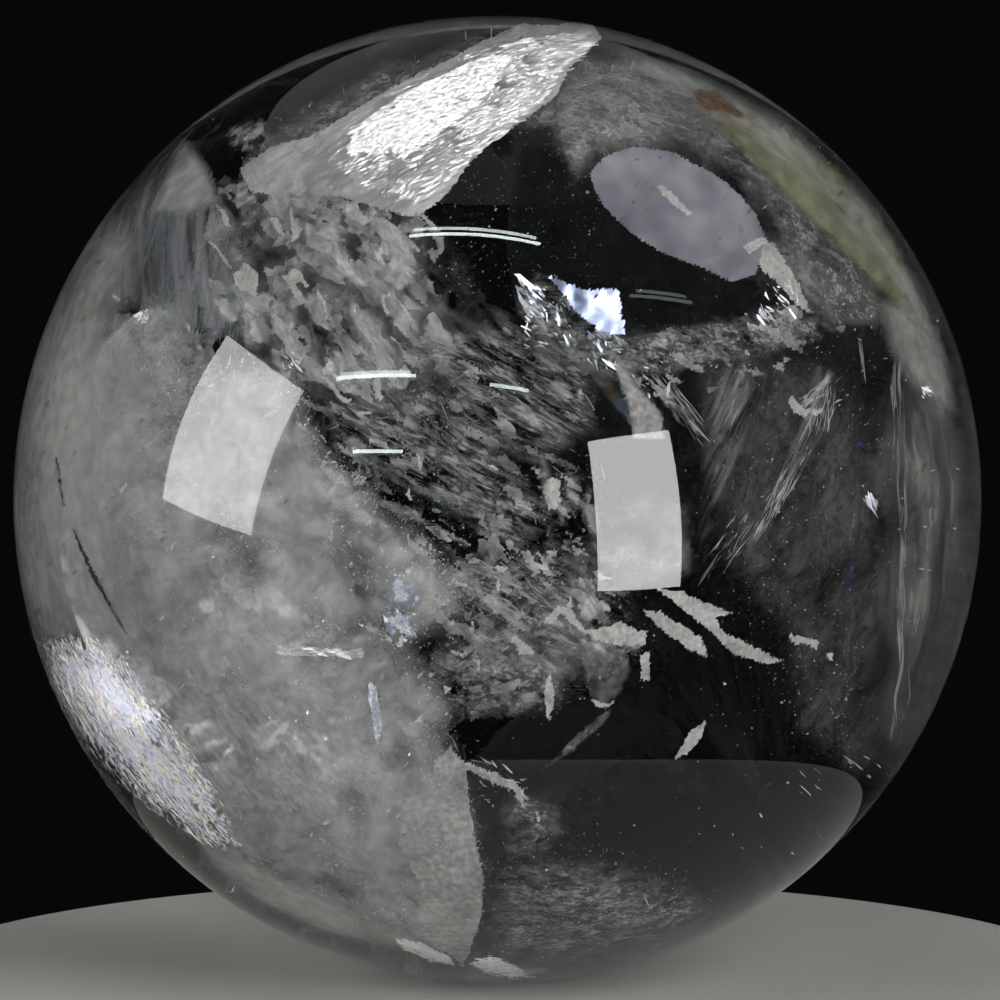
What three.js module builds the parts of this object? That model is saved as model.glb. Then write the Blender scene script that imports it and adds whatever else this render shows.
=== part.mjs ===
// A polished sphere of clear rock crystal, with a small flat ground underneath that it stands on.
// Units are millimetres and +Z is up. The origin is the middle of the flat.
import * as THREE from "three";

// Driving dimensions
const SPHERE_DIAMETER = 100;
const FLAT_DIAMETER = 16; // of the ground flat underneath

// Fineness of the faceted surface: steps around the upright axis, and from the flat's edge to the top
const STEPS_AROUND = 92;
const STEPS_UP = 46;

const sphereRadius = SPHERE_DIAMETER / 2;
const flatRadius = FLAT_DIAMETER / 2;
const centreHeight = Math.sqrt(sphereRadius ** 2 - flatRadius ** 2);

// Clear, glossy quartz with a faint grey cast from the veils inside it
const rockCrystal = new THREE.MeshStandardMaterial({
  name: "rock_crystal",
  color: 0xd9dcdb,
  roughness: 0.04,
  metalness: 0,
  transparent: true,
  opacity: 0.4,
});

// Half of the upright section, from the middle of the flat out to its edge and round the ball to the top.
function halfSection() {
  const edgeAngle = -Math.atan2(centreHeight, flatRadius);
  const section = new THREE.Path();
  section.moveTo(0, 0);
  section.lineTo(flatRadius, 0);
  section.absarc(0, centreHeight, sphereRadius, edgeAngle, Math.PI / 2, false);
  // A round stretch of a path gets two points for each division asked for.
  return section.getPoints(STEPS_UP / 2);
}

// The ball: the half section turned about the upright axis, which a lathe takes as Y.
function makeSphere() {
  const geometry = new THREE.LatheGeometry(halfSection(), STEPS_AROUND);
  geometry.rotateX(Math.PI / 2);
  const sphere = new THREE.Mesh(geometry, rockCrystal);
  sphere.name = "quartz_sphere";
  return sphere;
}

const crystalBall = new THREE.Group();
crystalBall.add(makeSphere());

export default crystalBall;
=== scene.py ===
import math
import random

import bmesh
import bpy
from mathutils import Matrix, Vector, noise


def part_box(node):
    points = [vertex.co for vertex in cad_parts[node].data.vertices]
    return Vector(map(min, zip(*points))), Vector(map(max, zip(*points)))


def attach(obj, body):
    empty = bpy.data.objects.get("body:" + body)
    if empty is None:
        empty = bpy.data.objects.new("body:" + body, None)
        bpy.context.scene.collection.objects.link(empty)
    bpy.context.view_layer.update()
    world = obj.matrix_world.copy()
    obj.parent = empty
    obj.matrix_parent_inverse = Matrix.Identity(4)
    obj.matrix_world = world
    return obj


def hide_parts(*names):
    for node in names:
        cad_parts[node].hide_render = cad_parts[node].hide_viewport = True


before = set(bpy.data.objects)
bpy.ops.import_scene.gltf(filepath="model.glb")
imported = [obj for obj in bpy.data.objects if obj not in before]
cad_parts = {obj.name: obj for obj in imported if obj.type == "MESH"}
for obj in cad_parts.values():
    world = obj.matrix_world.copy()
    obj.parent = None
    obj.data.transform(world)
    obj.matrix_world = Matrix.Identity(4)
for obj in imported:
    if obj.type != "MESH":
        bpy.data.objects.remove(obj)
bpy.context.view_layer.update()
scene = bpy.context.scene
mm = 0.001

# The ball, read from the frame: its widest half, its top and the height of its middle
ballLow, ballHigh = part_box("quartz_sphere")
radius = (ballHigh[0] - ballLow[0]) / 2
middle = Vector((0, 0, ballHigh[2] - radius))
crystalIor = 1.544  # quartz
flawLimit = radius - 0.4 * mm  # every flaw ends this near the middle, so none breaks through the polish

cameraLook = dict(
    distance=0.60,  # metres, to the middle of the ball
    elevation=5,  # degrees above level
    ballPixels=484,  # half width of the ball in a frame of 1000
    ballCentre=(497.5, 499.5),
    framePixels=1000,
)


# Camera and sight lines

def setCamera(look):
    lens = bpy.data.cameras.new("camera")
    eye = bpy.data.objects.new("camera", lens)
    scene.collection.objects.link(eye)
    rise = math.radians(look["elevation"])
    towards = Vector((0, -math.cos(rise), math.sin(rise)))
    eye.location = middle + towards * look["distance"]
    eye.rotation_euler = (math.pi / 2 - rise, 0, 0)
    ballHalfAngle = math.asin(radius / look["distance"])
    focalPixels = look["ballPixels"] / math.tan(ballHalfAngle)
    lens.lens = lens.sensor_width * focalPixels / look["framePixels"]
    halfFrame = look["framePixels"] / 2
    lens.shift_x = (halfFrame - look["ballCentre"][0]) / look["framePixels"]
    lens.shift_y = (look["ballCentre"][1] - halfFrame) / look["framePixels"]
    lens.clip_start = 0.01
    scene.camera = eye
    up = Vector((0, math.sin(rise), math.cos(rise)))
    return dict(eye=eye.location.copy(), right=Vector((1, 0, 0)), up=up, back=towards, focal=focalPixels)


sight = setCamera(cameraLook)
print("camera set")


def sightLine(x, y):
    # where the line through that point of the frame meets the ball, and its direction
    across = (x - cameraLook["ballCentre"][0]) / sight["focal"]
    above = (cameraLook["ballCentre"][1] - y) / sight["focal"]
    ray = (sight["right"] * across + sight["up"] * above - sight["back"]).normalized()
    offset = sight["eye"] - middle
    along = offset.dot(ray)
    inside = max(along ** 2 - offset.length_squared + radius ** 2, 0)
    return sight["eye"] + ray * (-along - math.sqrt(inside)), ray


def bend(ray, normal, ratio):
    # Snell's law: normal is on the side that the ray comes from
    cosIn = -ray.dot(normal)
    cosOut = math.sqrt(max(0, 1 - ratio ** 2 * (1 - cosIn ** 2)))
    return ray * ratio + normal * (ratio * cosIn - cosOut)


def sightInside(x, y):
    entry, ray = sightLine(x, y)
    normal = (entry - middle).normalized()
    return entry, bend(ray, normal, 1 / crystalIor)


def intoStone(x, y, depth):
    # the point that shows at x, y in the frame when it lies depth mm into the stone
    entry, ray = sightInside(x, y)
    return entry + ray * (depth * mm)


def mirroredAt(x, y):
    # direction of what the polished surface reflects at that point of the frame
    entry, ray = sightLine(x, y)
    normal = (entry - middle).normalized()
    return ray.reflect(normal).normalized()


def flashNormal(x, y, depth, lightDirection):
    # the way a crack has to face, at that place, to mirror a distant light to the camera
    point = intoStone(x, y, depth)
    ray = sightInside(x, y)[1]
    towards = lightDirection.copy()
    for step in range(12):  # the exit point and the bent line settle within a dozen rounds
        offset = point - middle
        along = offset.dot(towards)
        reach = -along + math.sqrt(max(along ** 2 - offset.length_squared + radius ** 2, 0))
        normal = (point + towards * reach - middle).normalized()
        towards = -bend(-lightDirection, normal, 1 / crystalIor)
    return (towards - ray).normalized()


# Materials

def linear(hexText):
    # sRGB hex to linear light
    parts = [int(hexText[i:i + 2], 16) / 255 for i in (0, 2, 4)]
    return tuple(c / 12.92 if c <= 0.04045 else ((c + 0.055) / 1.055) ** 2.4 for c in parts) + (1,)


def addNode(tree, kind, settings=None, links=None):
    node = tree.nodes.new(kind)
    for key, value in (settings or {}).items():
        if isinstance(key, int) or key in node.inputs:
            node.inputs[key].default_value = value
        else:
            setattr(node, key, value)
    for socket, source in (links or {}).items():
        tree.links.new(source, node.inputs[socket])
    return node


def newMaterial(name):
    material = bpy.data.materials.new(name)
    material.use_nodes = True
    material.node_tree.nodes.clear()
    return material, material.node_tree


def alongLine(start, end, depth):
    # turns the X axis along a line of the frame as it lies in the stone
    line = (intoStone(*end, depth) - intoStone(*start, depth)).normalized()
    return 0, -math.asin(line.z), math.atan2(line.y, line.x)


def rockCrystal():
    # Polished rock crystal: clear, glassy, with sharp reflections
    material, tree = newMaterial("rockCrystal")
    glass = addNode(tree, "ShaderNodeBsdfPrincipled", {
        "Base Color": linear("fbfcfc"),
        "Roughness": 0,
        "IOR": crystalIor,
        "Transmission Weight": 1,
    })
    addNode(tree, "ShaderNodeOutputMaterial", links={"Surface": glass.outputs[0]})
    return material


def veilFinish(name, look):
    # A film of tiny fluid bubbles on a healed crack: white, matt, patchy and part see-through.
    # In look, blotch and grain are the sizes of its patches and specks in mm, and chips that of
    # angular chips; tones are its colours, through the share of light it passes on, cover how solid
    # its thinnest and thickest patches are, contrast how softly those meet, fine how broken their
    # edges are, speckle how deep the specks cut. A finish without cover is solid. The metallic
    # part is the full reflection that an air gap in quartz gives.
    material, tree = newMaterial(name)
    place = addNode(tree, "ShaderNodeTexCoord").outputs["Object"]
    if "streak" in look:
        # either an angle, or the ends and the depth of a line in the frame that the streaks follow
        line, stretch = look["streak"]
        turned = (0, math.radians(-line), 0) if isinstance(line, int) else alongLine(*line)
        place = addNode(tree, "ShaderNodeMapping", {
            "vector_type": "TEXTURE",
            "Rotation": turned,
            "Scale": (stretch, 1, 1),
        }, {"Vector": place}).outputs[0]
    blotch = addNode(tree, "ShaderNodeTexNoise", {
        "Scale": 1 / (look["blotch"] * mm),
        "Detail": 3,
        "Roughness": look.get("fine", 0.6),
    }, {"Vector": place})
    grain = addNode(tree, "ShaderNodeTexNoise", {
        "Scale": 1 / (look["grain"] * mm),
        "Detail": 1,
    }, {"Vector": place})
    tones = [linear(tone) for tone in look["tones"]]
    colours = addNode(tree, "ShaderNodeValToRGB", links={
        "Fac": blotch.outputs["Fac"] if len(tones) > 2 else grain.outputs["Fac"],
    })
    first, last = 0.3, 0.7  # where a noise's lows and highs mostly lie
    ramp = colours.color_ramp.elements
    while len(ramp) < len(tones):
        ramp.new(0.5)
    for number, tone in enumerate(tones):
        ramp[number].position = first + (last - first) * number / (len(tones) - 1)
        ramp[number].color = tone
    matt = addNode(tree, "ShaderNodeBsdfPrincipled", {
        "Roughness": look.get("roughness", 0.6),
        "Metallic": look.get("metallic", 0),
    }, {"Base Color": colours.outputs[0]})
    surface = matt.outputs[0]
    if look.get("through", 0):
        through = addNode(tree, "ShaderNodeBsdfTranslucent", links={"Color": colours.outputs[0]})
        surface = addNode(tree, "ShaderNodeMixShader", {0: look["through"]},
                          {1: matt.outputs[0], 2: through.outputs[0]}).outputs[0]
    if "cover" in look:
        thin, thick = look["cover"]
        patches = addNode(tree, "ShaderNodeMapRange", {
            "From Min": 0.5 - look["contrast"],
            "From Max": 0.5 + look["contrast"],
            "To Min": thin,
            "To Max": thick,
        }, {"Value": blotch.outputs["Fac"]})
        # between these two lies most of the grain noise
        speckle = addNode(tree, "ShaderNodeMapRange", {
            "From Min": 0.35,
            "From Max": 0.65,
            "To Min": 1 - look.get("speckle", 0.4),
            "To Max": 1,
        }, {"Value": grain.outputs["Fac"]})
        amount = addNode(tree, "ShaderNodeMath", {"operation": "MULTIPLY"},
                         {0: patches.outputs[0], 1: speckle.outputs[0]})
        if "chips" in look:
            # angular chips, each with a cover of its own
            jag = addNode(tree, "ShaderNodeVectorMath", {
                "operation": "MULTIPLY_ADD",
                1: (look["chips"] * 0.5 * mm,) * 3,
            }, {0: grain.outputs["Color"], 2: place})
            chips = addNode(tree, "ShaderNodeTexVoronoi", {"Scale": 1 / (look["chips"] * mm)},
                            {"Vector": jag.outputs[0]})
            share = addNode(tree, "ShaderNodeSeparateColor", links={0: chips.outputs["Color"]})
            chipCover = addNode(tree, "ShaderNodeMapRange", {
                "From Min": 0.25,
                "From Max": 0.75,
                "To Min": 0.15,
                "To Max": 1.1,
            }, {"Value": share.outputs[0]})
            amount = addNode(tree, "ShaderNodeMath", {"operation": "MULTIPLY"},
                             {0: amount.outputs[0], 1: chipCover.outputs[0]})
        fade = addNode(tree, "ShaderNodeAttribute", {"attribute_name": "fade"})
        cover = addNode(tree, "ShaderNodeMath", {"operation": "MULTIPLY", "use_clamp": True},
                        {0: amount.outputs[0], 1: fade.outputs["Fac"]})
        clear = addNode(tree, "ShaderNodeBsdfTransparent")
        surface = addNode(tree, "ShaderNodeMixShader", links={
            0: cover.outputs[0],
            1: clear.outputs[0],
            2: surface,
        }).outputs[0]
    addNode(tree, "ShaderNodeOutputMaterial", links={"Surface": surface})
    return material


# Shapes

def addPiece(name, mesh, material):
    mesh.materials.append(material)
    piece = bpy.data.objects.new(name, mesh)
    scene.collection.objects.link(piece)
    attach(piece, "root")
    return piece


def makeBall(material):
    around, up = 320, 160
    bm = bmesh.new()
    bmesh.ops.create_uvsphere(bm, u_segments=around, v_segments=up, radius=radius)
    bmesh.ops.translate(bm, verts=bm.verts, vec=middle)
    everything = bm.verts[:] + bm.edges[:] + bm.faces[:]
    cut = bmesh.ops.bisect_plane(bm, geom=everything, plane_co=(0, 0, ballLow[2]), plane_no=(0, 0, 1),
                                 clear_inner=True)
    rim = [e for e in cut["geom_cut"] if isinstance(e, bmesh.types.BMEdge)]
    for face in bm.faces:
        face.smooth = True
    bmesh.ops.contextual_create(bm, geom=rim)
    for edge in rim:
        edge.smooth = False  # the flat meets the round in a sharp edge
    bmesh.ops.recalc_face_normals(bm, faces=bm.faces)
    mesh = bpy.data.meshes.new("crystal_ball")
    bm.to_mesh(mesh)
    bm.free()
    ball = addPiece("crystal_ball", mesh, material)
    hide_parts("quartz_sphere")


def insideOutline(x, y, outline):
    found = False
    for (ax, ay, *_), (bx, by, *_) in zip(outline, outline[1:] + outline[:1]):
        if (ay > y) != (by > y) and x < ax + (y - ay) * (bx - ax) / (by - ay):
            found = not found
    return found


def edgeDistance(x, y, outline):
    nearest = 1e9
    for (ax, ay, *_), (bx, by, *_) in zip(outline, outline[1:] + outline[:1]):
        dx, dy = bx - ax, by - ay
        t = max(0, min(1, ((x - ax) * dx + (y - ay) * dy) / (dx * dx + dy * dy)))
        nearest = min(nearest, math.hypot(x - ax - t * dx, y - ay - t * dy))
    return nearest


def depthAt(x, y, outline):
    # smooth between the corners' depths
    rounding = 25  # square pixels, so that the surface has no spike at a corner
    total = weights = 0
    for ax, ay, depth in outline:
        weight = 1 / ((x - ax) ** 2 + (y - ay) ** 2 + rounding)
        total += weight * depth
        weights += weight
    return total / weights


def spanOf(outline):
    xs = [p[0] for p in outline]
    ys = [p[1] for p in outline]
    return min(xs), max(xs), min(ys), max(ys)


def spotIn(rng, span):
    left, right, top, bottom = span
    x = rng.uniform(left, right)
    return x, rng.uniform(top, bottom)


def hold(place, octaves=4):
    # how well a crack holds together at that place of the noise: low where it is torn
    roughness, gap = 0.9, 2.1
    return noise.fractal(place, roughness, gap, octaves)


def trimToStone(bm, verts):
    outside = [v for v in verts if v.is_valid and (v.co - middle).length > flawLimit]
    bmesh.ops.delete(bm, geom=outside, context="VERTS")


def cornerDepths(s):
    # each corner's depth: its own, the sheet's, or what puts it on the plane that mirrors a lamp
    outline = s["outline"]
    if len(outline[0]) == 3:
        return outline
    if "flash" not in s:
        return [(x, y, s["depth"]) for x, y in outline]
    cx = sum(p[0] for p in outline) / len(outline)
    cy = sum(p[1] for p in outline) / len(outline)
    normal = flashNormal(cx, cy, s["depth"], s["flash"])
    point = intoStone(cx, cy, s["depth"])
    corners = []
    slope = 12  # mm that a corner may lie before or behind the middle
    for x, y in outline:
        entry, ray = sightInside(x, y)
        reach = (point - entry).dot(normal) / ray.dot(normal) / mm
        corners.append((x, y, max(s["depth"] - slope, min(s["depth"] + slope, reach))))
    return corners


def sheetInto(bm, fadeLayer, s):
    # a crack surface: a grid over its outline in the frame, frayed, holed and laid into the stone.
    # cell, ragged, fray and fade are in pixels: the mesh's step, how far the edge wanders, over
    # what length, and how wide it thins out; lace is the level and the size of its holes; warp is
    # how far it bends, in mm, and over how many pixels
    outline = cornerDepths(s)
    rng = random.Random(s["seed"])
    cell = s.get("cell", 4)
    margin = s.get("ragged", 0)
    left, right, top, bottom = spanOf(outline)
    wide = right - left + 2 * margin
    tall = bottom - top + 2 * margin
    centre = Vector(((right + left) / 2, (bottom + top) / 2, 0))
    verts = bmesh.ops.create_grid(bm, x_segments=math.ceil(wide / cell), y_segments=math.ceil(tall / cell),
                                  size=0.5)["verts"]
    bmesh.ops.scale(bm, vec=(wide, tall, 1), verts=verts)
    bmesh.ops.translate(bm, vec=centre, verts=verts)
    bmesh.ops.triangulate(bm, faces=list({f for v in verts for f in v.link_faces}))
    degrees, stretch = s.get("streak", (0, 1))
    turn = math.radians(degrees)
    away = Vector((s["seed"] * 7.3, s["seed"] * 3.1, 0))  # each sheet has its own part of the noise
    for v in verts:
        v.co.x += rng.uniform(-0.4, 0.4) * cell
        v.co.y += rng.uniform(-0.4, 0.4) * cell

    def grainPlace(x, y, size):
        along = (x * math.cos(turn) - y * math.sin(turn)) / stretch
        across = x * math.sin(turn) + y * math.cos(turn)
        return Vector((along, across, 0)) / size + away

    lost = []
    for f in {f for v in verts for f in v.link_faces}:
        c = f.calc_center_median()
        x, y = c.x, c.y
        if margin:
            fray = grainPlace(x, y, s.get("fray", 14))
            x += margin * noise.noise(fray)
            y += margin * noise.noise(fray + Vector((0, 0, 9)))
        keep = insideOutline(x, y, outline)
        if keep and "lace" in s:
            level, size = s["lace"]
            keep = hold(grainPlace(c.x, c.y, size)) > level
        if not keep:
            lost.append(f)
    bmesh.ops.delete(bm, geom=lost, context="FACES")
    fadeWidth = s.get("fade", 0)
    warp, warpSize = s.get("warp", (1, 60))
    shallowest = 0.8
    for v in verts:
        if not v.is_valid:
            continue
        x, y = v.co.x, v.co.y
        v[fadeLayer] = min(1, edgeDistance(x, y, outline) / fadeWidth) if fadeWidth else 1
        ripple = noise.fractal(grainPlace(x, y, warpSize), 1, 2, 4)
        v.co = intoStone(x, y, max(depthAt(x, y, outline) + warp * ripple, shallowest))
    trimToStone(bm, verts)


def patchSheets(s):
    # small torn films strewn over a part of the frame, most of them lying one way
    rng = random.Random(s["seed"])
    span = spanOf(s["outline"])
    cornerCount = 9
    sheets = []
    while len(sheets) < s["count"]:
        x, y = spotIn(rng, span)
        if not insideOutline(x, y, s["outline"]):
            continue
        length = rng.uniform(*s["length"])
        breadth = length / rng.uniform(*s["aspect"])
        degrees = s["along"] + rng.gauss(0, s["sway"])
        angle = math.radians(degrees)
        depth = rng.uniform(*s["depths"])
        tiltX, tiltY = rng.gauss(0, 0.06), rng.gauss(0, 0.06)  # mm deeper for each pixel across
        corners = []
        for k in range(cornerCount):
            turn = math.tau * k / cornerCount
            reach = rng.uniform(0.45, 1) / 2
            along = math.cos(turn) * length * reach
            across = math.sin(turn) * breadth * reach
            dx = along * math.cos(angle) + across * math.sin(angle)
            dy = across * math.cos(angle) - along * math.sin(angle)
            corners.append((x + dx, y + dy, max(2, depth + tiltX * dx + tiltY * dy)))
        sheets.append(dict(outline=corners, cell=s.get("cell", 2.5), seed=rng.randrange(9999),
                           ragged=length * s.get("torn", 0.1), fray=length * 0.25, streak=(degrees, 2),
                           fade=s.get("fade", 5), warp=(0.4, 40)))
    return sheets


def sideCrackInto(bm, fadeLayer, s):
    # a crack seen nearly edge-on: a curve down the frame, drawn back into the stone; lean and wave
    # are in pixels: how far its back leans over and how far it sways on the way
    near, far = s["depths"]
    spine = s["spine"]
    top, bottom = spine[0][1], spine[-1][1]
    columns, rows = s.get("columns", 40), math.ceil((bottom - top) / s.get("cell", 4))
    rng = random.Random(s["seed"])
    verts = bmesh.ops.create_grid(bm, x_segments=columns, y_segments=rows, size=0.5)["verts"]
    bmesh.ops.triangulate(bm, faces=list({f for v in verts for f in v.link_faces}))
    for v in verts:
        v.co.x += rng.uniform(-0.4, 0.4) / columns
        v.co.y += rng.uniform(-0.4, 0.4) / rows
    level, size = s["lace"]
    away = Vector((s["seed"] * 7.3, 0, 0))
    patchDepth, patchHeight = 3, 34  # mm and pixels to one unit of the tear noise
    edgeShare = 1 / 12  # of the crack's width and height, where its border crumbles
    sways, swayHeight = 5, 40  # how often it sways on its way back, and pixels of height to one sway
    lost = []
    for f in {f for v in verts for f in v.link_faces}:
        c = f.calc_center_median()
        spot = Vector((c.x * (far - near) / patchDepth, c.y * (bottom - top) / patchHeight, 0)) / size
        border = min(0.5 - abs(c.x), 0.5 - abs(c.y)) / edgeShare
        if hold(spot + away) + min(border, 1) - 1 < level:
            lost.append(f)
    bmesh.ops.delete(bm, geom=lost, context="FACES")
    for v in verts:
        if not v.is_valid:
            continue
        y = top + (v.co.y + 0.5) * (bottom - top)
        for (ax, ay), (bx, by) in zip(spine, spine[1:]):
            if ay <= y <= by or (bx, by) == spine[-1]:
                break
        x = ax + (bx - ax) * (y - ay) / (by - ay)
        share = v.co.x + 0.5
        x += s["lean"] * share + s["wave"] * noise.noise(Vector((share * sways, y / swayHeight, s["seed"])))
        v[fadeLayer] = 1
        v.co = intoStone(x, y, near + (far - near) * share)
    trimToStone(bm, verts)


def makeSheets(name, sheets, material, look=None, smooth=True, build=sheetInto):
    # sheets of one finish joined in one mesh; look holds what they share
    bm = bmesh.new()
    fadeLayer = bm.verts.layers.float.new("fade")
    for s in sheets:
        build(bm, fadeLayer, dict(look or {}, **s))
    loose = [v for v in bm.verts if not v.link_faces]
    bmesh.ops.delete(bm, geom=loose, context="VERTS")
    for face in bm.faces:
        face.smooth = smooth
    mesh = bpy.data.meshes.new(name)
    bm.to_mesh(mesh)
    bm.free()
    print(name, len(mesh.polygons), "triangles")
    return addPiece(name, mesh, material)


def makeFlakes(name, strewn, material, look=None):
    # small flat chips strewn between two depths, joined in one mesh; size is half a chip in mm,
    # stretch how many times longer it is, lace the level and the size in mm of the swarms' gaps,
    # soft the pixels over which they thin out at the outline, and flash the light that they mirror
    corners, faces = [], []
    patience = 30  # tries for each chip; what the outline and the gaps still refuse is left out
    sizeSpread = 0.45
    for own in strewn:
        s = dict(look or {}, **own)
        rng = random.Random(s["seed"])
        outline = s["outline"]
        span = spanOf(outline)
        near, far = s["depths"]
        level, size = s.get("lace", (-9, 10))
        away = Vector((s["seed"] * 5.7, 0, 0))
        made = tries = 0
        while made < s["count"] and tries < s["count"] * patience:
            tries += 1
            x, y = spotIn(rng, span)
            depth = rng.uniform(near, far)
            if not insideOutline(x, y, outline):
                continue
            if "soft" in s and rng.random() * s["soft"] > edgeDistance(x, y, outline):
                continue
            point = intoStone(x, y, depth)
            if hold(point / (size * mm) + away, 3) < level:
                continue
            reach = s["size"] * mm * math.exp(rng.gauss(0, sizeSpread))
            normal = Vector([rng.gauss(0, 1) for k in range(3)]).normalized()
            if "flash" in s:
                normal = (flashNormal(x, y, depth, s["flash"]) + normal * s.get("scatter", 0.1)).normalized()
            side = normal.orthogonal().normalized()
            if "along" in s:
                angle = math.radians(s["along"] + rng.gauss(0, s.get("sway", 12)))
                line = sight["right"] * math.cos(angle) + sight["up"] * math.sin(angle)
                side = (line - normal * line.dot(normal)).normalized()
            other = normal.cross(side)
            stretch = rng.uniform(*s.get("stretch", (1, 1.8)))
            count = rng.choice((3, 3, 4, 5))
            spin = rng.uniform(0, math.tau)
            ring = []
            for k in range(count):
                angle = spin + math.tau * (k + rng.uniform(-0.25, 0.25)) / count
                ring.append(point + (side * math.cos(angle) * stretch + other * math.sin(angle)) * reach)
            if max((p - middle).length for p in ring) > flawLimit:
                continue
            faces.append(tuple(range(len(corners), len(corners) + count)))
            corners += ring
            made += 1
    mesh = bpy.data.meshes.new(name)
    mesh.from_pydata(corners, [], faces)
    print(name, len(faces), "flakes")
    return addPiece(name, mesh, material)


# Lights

lightLook = dict(
    windowRadiance=(6.2, 8.8),  # left and right
    windowDistance=0.75,
    tubeRadiance=17,
    tubeWidth=0.028,
    tubeColour="e9f7ef",
    tubeDistance=2.0,
    worldGlow="060707",
    fillRadiance=7,  # a soft box that polished surfaces are set not to mirror
    fillSize=0.7,
    fillPlace=(0.72, -0.9, 0.62),  # metres from the middle of the ball
)
leftWindow = [(236, 345), (298, 385), (273, 542), (168, 494)]  # corners, where the ball mirrors them
rightWindow = [(577, 438), (653, 442), (686, 575), (600, 594)]
tubes = [((410, 239), (540, 247), 1), ((414, 233), (536, 241), 0.7), ((338, 380), (417, 377), 1),
         ((342, 376), (412, 374), 0.5), ((490, 386), (528, 392), 0.8), ((354, 452), (404, 452), 1),
         ((628, 298), (690, 305), 0.1), ((634, 293), (684, 299), 0.1)]  # two ends and the strength


def addLamp(name, centre, sideways, upward, radiance):
    lamp = bpy.data.lights.new(name, "AREA")
    lamp.shape = "RECTANGLE"
    lamp.size = sideways.length
    lamp.size_y = upward.length
    lamp.energy = radiance * math.pi * lamp.size * lamp.size_y
    holder = bpy.data.objects.new(name, lamp)
    scene.collection.objects.link(holder)
    facing = (middle - centre).normalized()
    axisX = (sideways - facing * sideways.dot(facing)).normalized()
    axisZ = -facing
    axisY = axisZ.cross(axisX)
    turned = Matrix((axisX, axisY, axisZ)).transposed().to_4x4()
    holder.matrix_world = Matrix.Translation(centre) @ turned
    return holder


def windowLamp(name, corners, radiance):
    # a soft box that the front of the ball mirrors inside those corners
    reach = lightLook["windowDistance"]
    spots = [middle + mirroredAt(x, y) * reach for x, y in corners]
    centre = sum(spots, Vector()) / 4
    sideways = ((spots[0] - spots[1]) + (spots[3] - spots[2])) / 2
    upward = ((spots[0] - spots[3]) + (spots[1] - spots[2])) / 2
    return addLamp(name, centre, sideways, upward, radiance)


def tubeLamp(name, start, end, strength):
    # a thin strip that the front of the ball mirrors between those two points
    a, b = [middle + mirroredAt(x, y) * lightLook["tubeDistance"] for x, y in (start, end)]
    along = b - a
    across = along.cross(a + b - 2 * middle).normalized() * lightLook["tubeWidth"]
    lamp = addLamp(name, (a + b) / 2, along, across, lightLook["tubeRadiance"] * strength)
    lamp.data.color = linear(lightLook["tubeColour"])[:3]


def fillLamp(look):
    centre = middle + Vector(look["fillPlace"])
    holder = addLamp("fill", centre, Vector((look["fillSize"], 0, 0)), Vector((0, 0, look["fillSize"])),
                     look["fillRadiance"])
    holder.visible_glossy = False
    return holder


fill = fillLamp(lightLook)
leftLamp = windowLamp("left_window", leftWindow, lightLook["windowRadiance"][0])
rightLamp = windowLamp("right_window", rightWindow, lightLook["windowRadiance"][1])
for number, tube in enumerate(tubes):
    tubeLamp("tube_%d" % number, *tube)
world = bpy.data.worlds.new("darkRoom")
world.use_nodes = True
world.node_tree.nodes["Background"].inputs["Color"].default_value = linear(lightLook["worldGlow"])
scene.world = world
scene.view_settings.view_transform = "Standard"
scene.view_settings.exposure = 0.1
towardsLeft = (leftLamp.location - middle).normalized()
towardsFill = (fill.location - middle).normalized()
towardsRight = (rightLamp.location - middle).normalized()
print("lights set")


# Floor

floorLook = dict(
    radius=0.064,  # metres
    thickness=0.008,
    edge=0.002,
    colour="adaca8",
    tooth=0.6,  # mm
)


def makeFloor(look):
    # a plain pale round board
    bm = bmesh.new()
    bmesh.ops.create_circle(bm, cap_ends=True, segments=192, radius=look["radius"])
    sides = bmesh.ops.extrude_face_region(bm, geom=bm.faces[:])
    lowered = [v for v in sides["geom"] if isinstance(v, bmesh.types.BMVert)]
    bmesh.ops.translate(bm, verts=lowered, vec=(0, 0, -look["thickness"]))
    bmesh.ops.recalc_face_normals(bm, faces=bm.faces)
    rim = [e for e in bm.edges if all(v.co.z > -look["thickness"] / 2 for v in e.verts)]
    bmesh.ops.bevel(bm, geom=rim, offset=look["edge"], segments=4, profile=0.5, affect="EDGES", material=-1)
    # Matt paint on board: even, without gloss, with a fine tooth
    material, tree = newMaterial("mattPaint")
    place = addNode(tree, "ShaderNodeTexCoord").outputs["Object"]
    tooth = addNode(tree, "ShaderNodeTexNoise", {"Scale": 1 / (look["tooth"] * mm), "Detail": 2},
                    {"Vector": place})
    bump = addNode(tree, "ShaderNodeBump", {"Strength": 0.15, "Distance": 0.0001},
                   {"Height": tooth.outputs["Fac"]})
    paint = addNode(tree, "ShaderNodeBsdfPrincipled", {
        "Base Color": linear(look["colour"]),
        "Roughness": 0.8,
    }, {"Normal": bump.outputs[0]})
    addNode(tree, "ShaderNodeOutputMaterial", links={"Surface": paint.outputs[0]})
    mesh = bpy.data.meshes.new("floor")
    bm.to_mesh(mesh)
    bm.free()
    mesh.materials.append(material)
    floor = bpy.data.objects.new("floor", mesh)
    scene.collection.objects.link(floor)


makeFloor(floorLook)
makeBall(rockCrystal())
print("ball and floor made")


# The milky cloud of the left side

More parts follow.
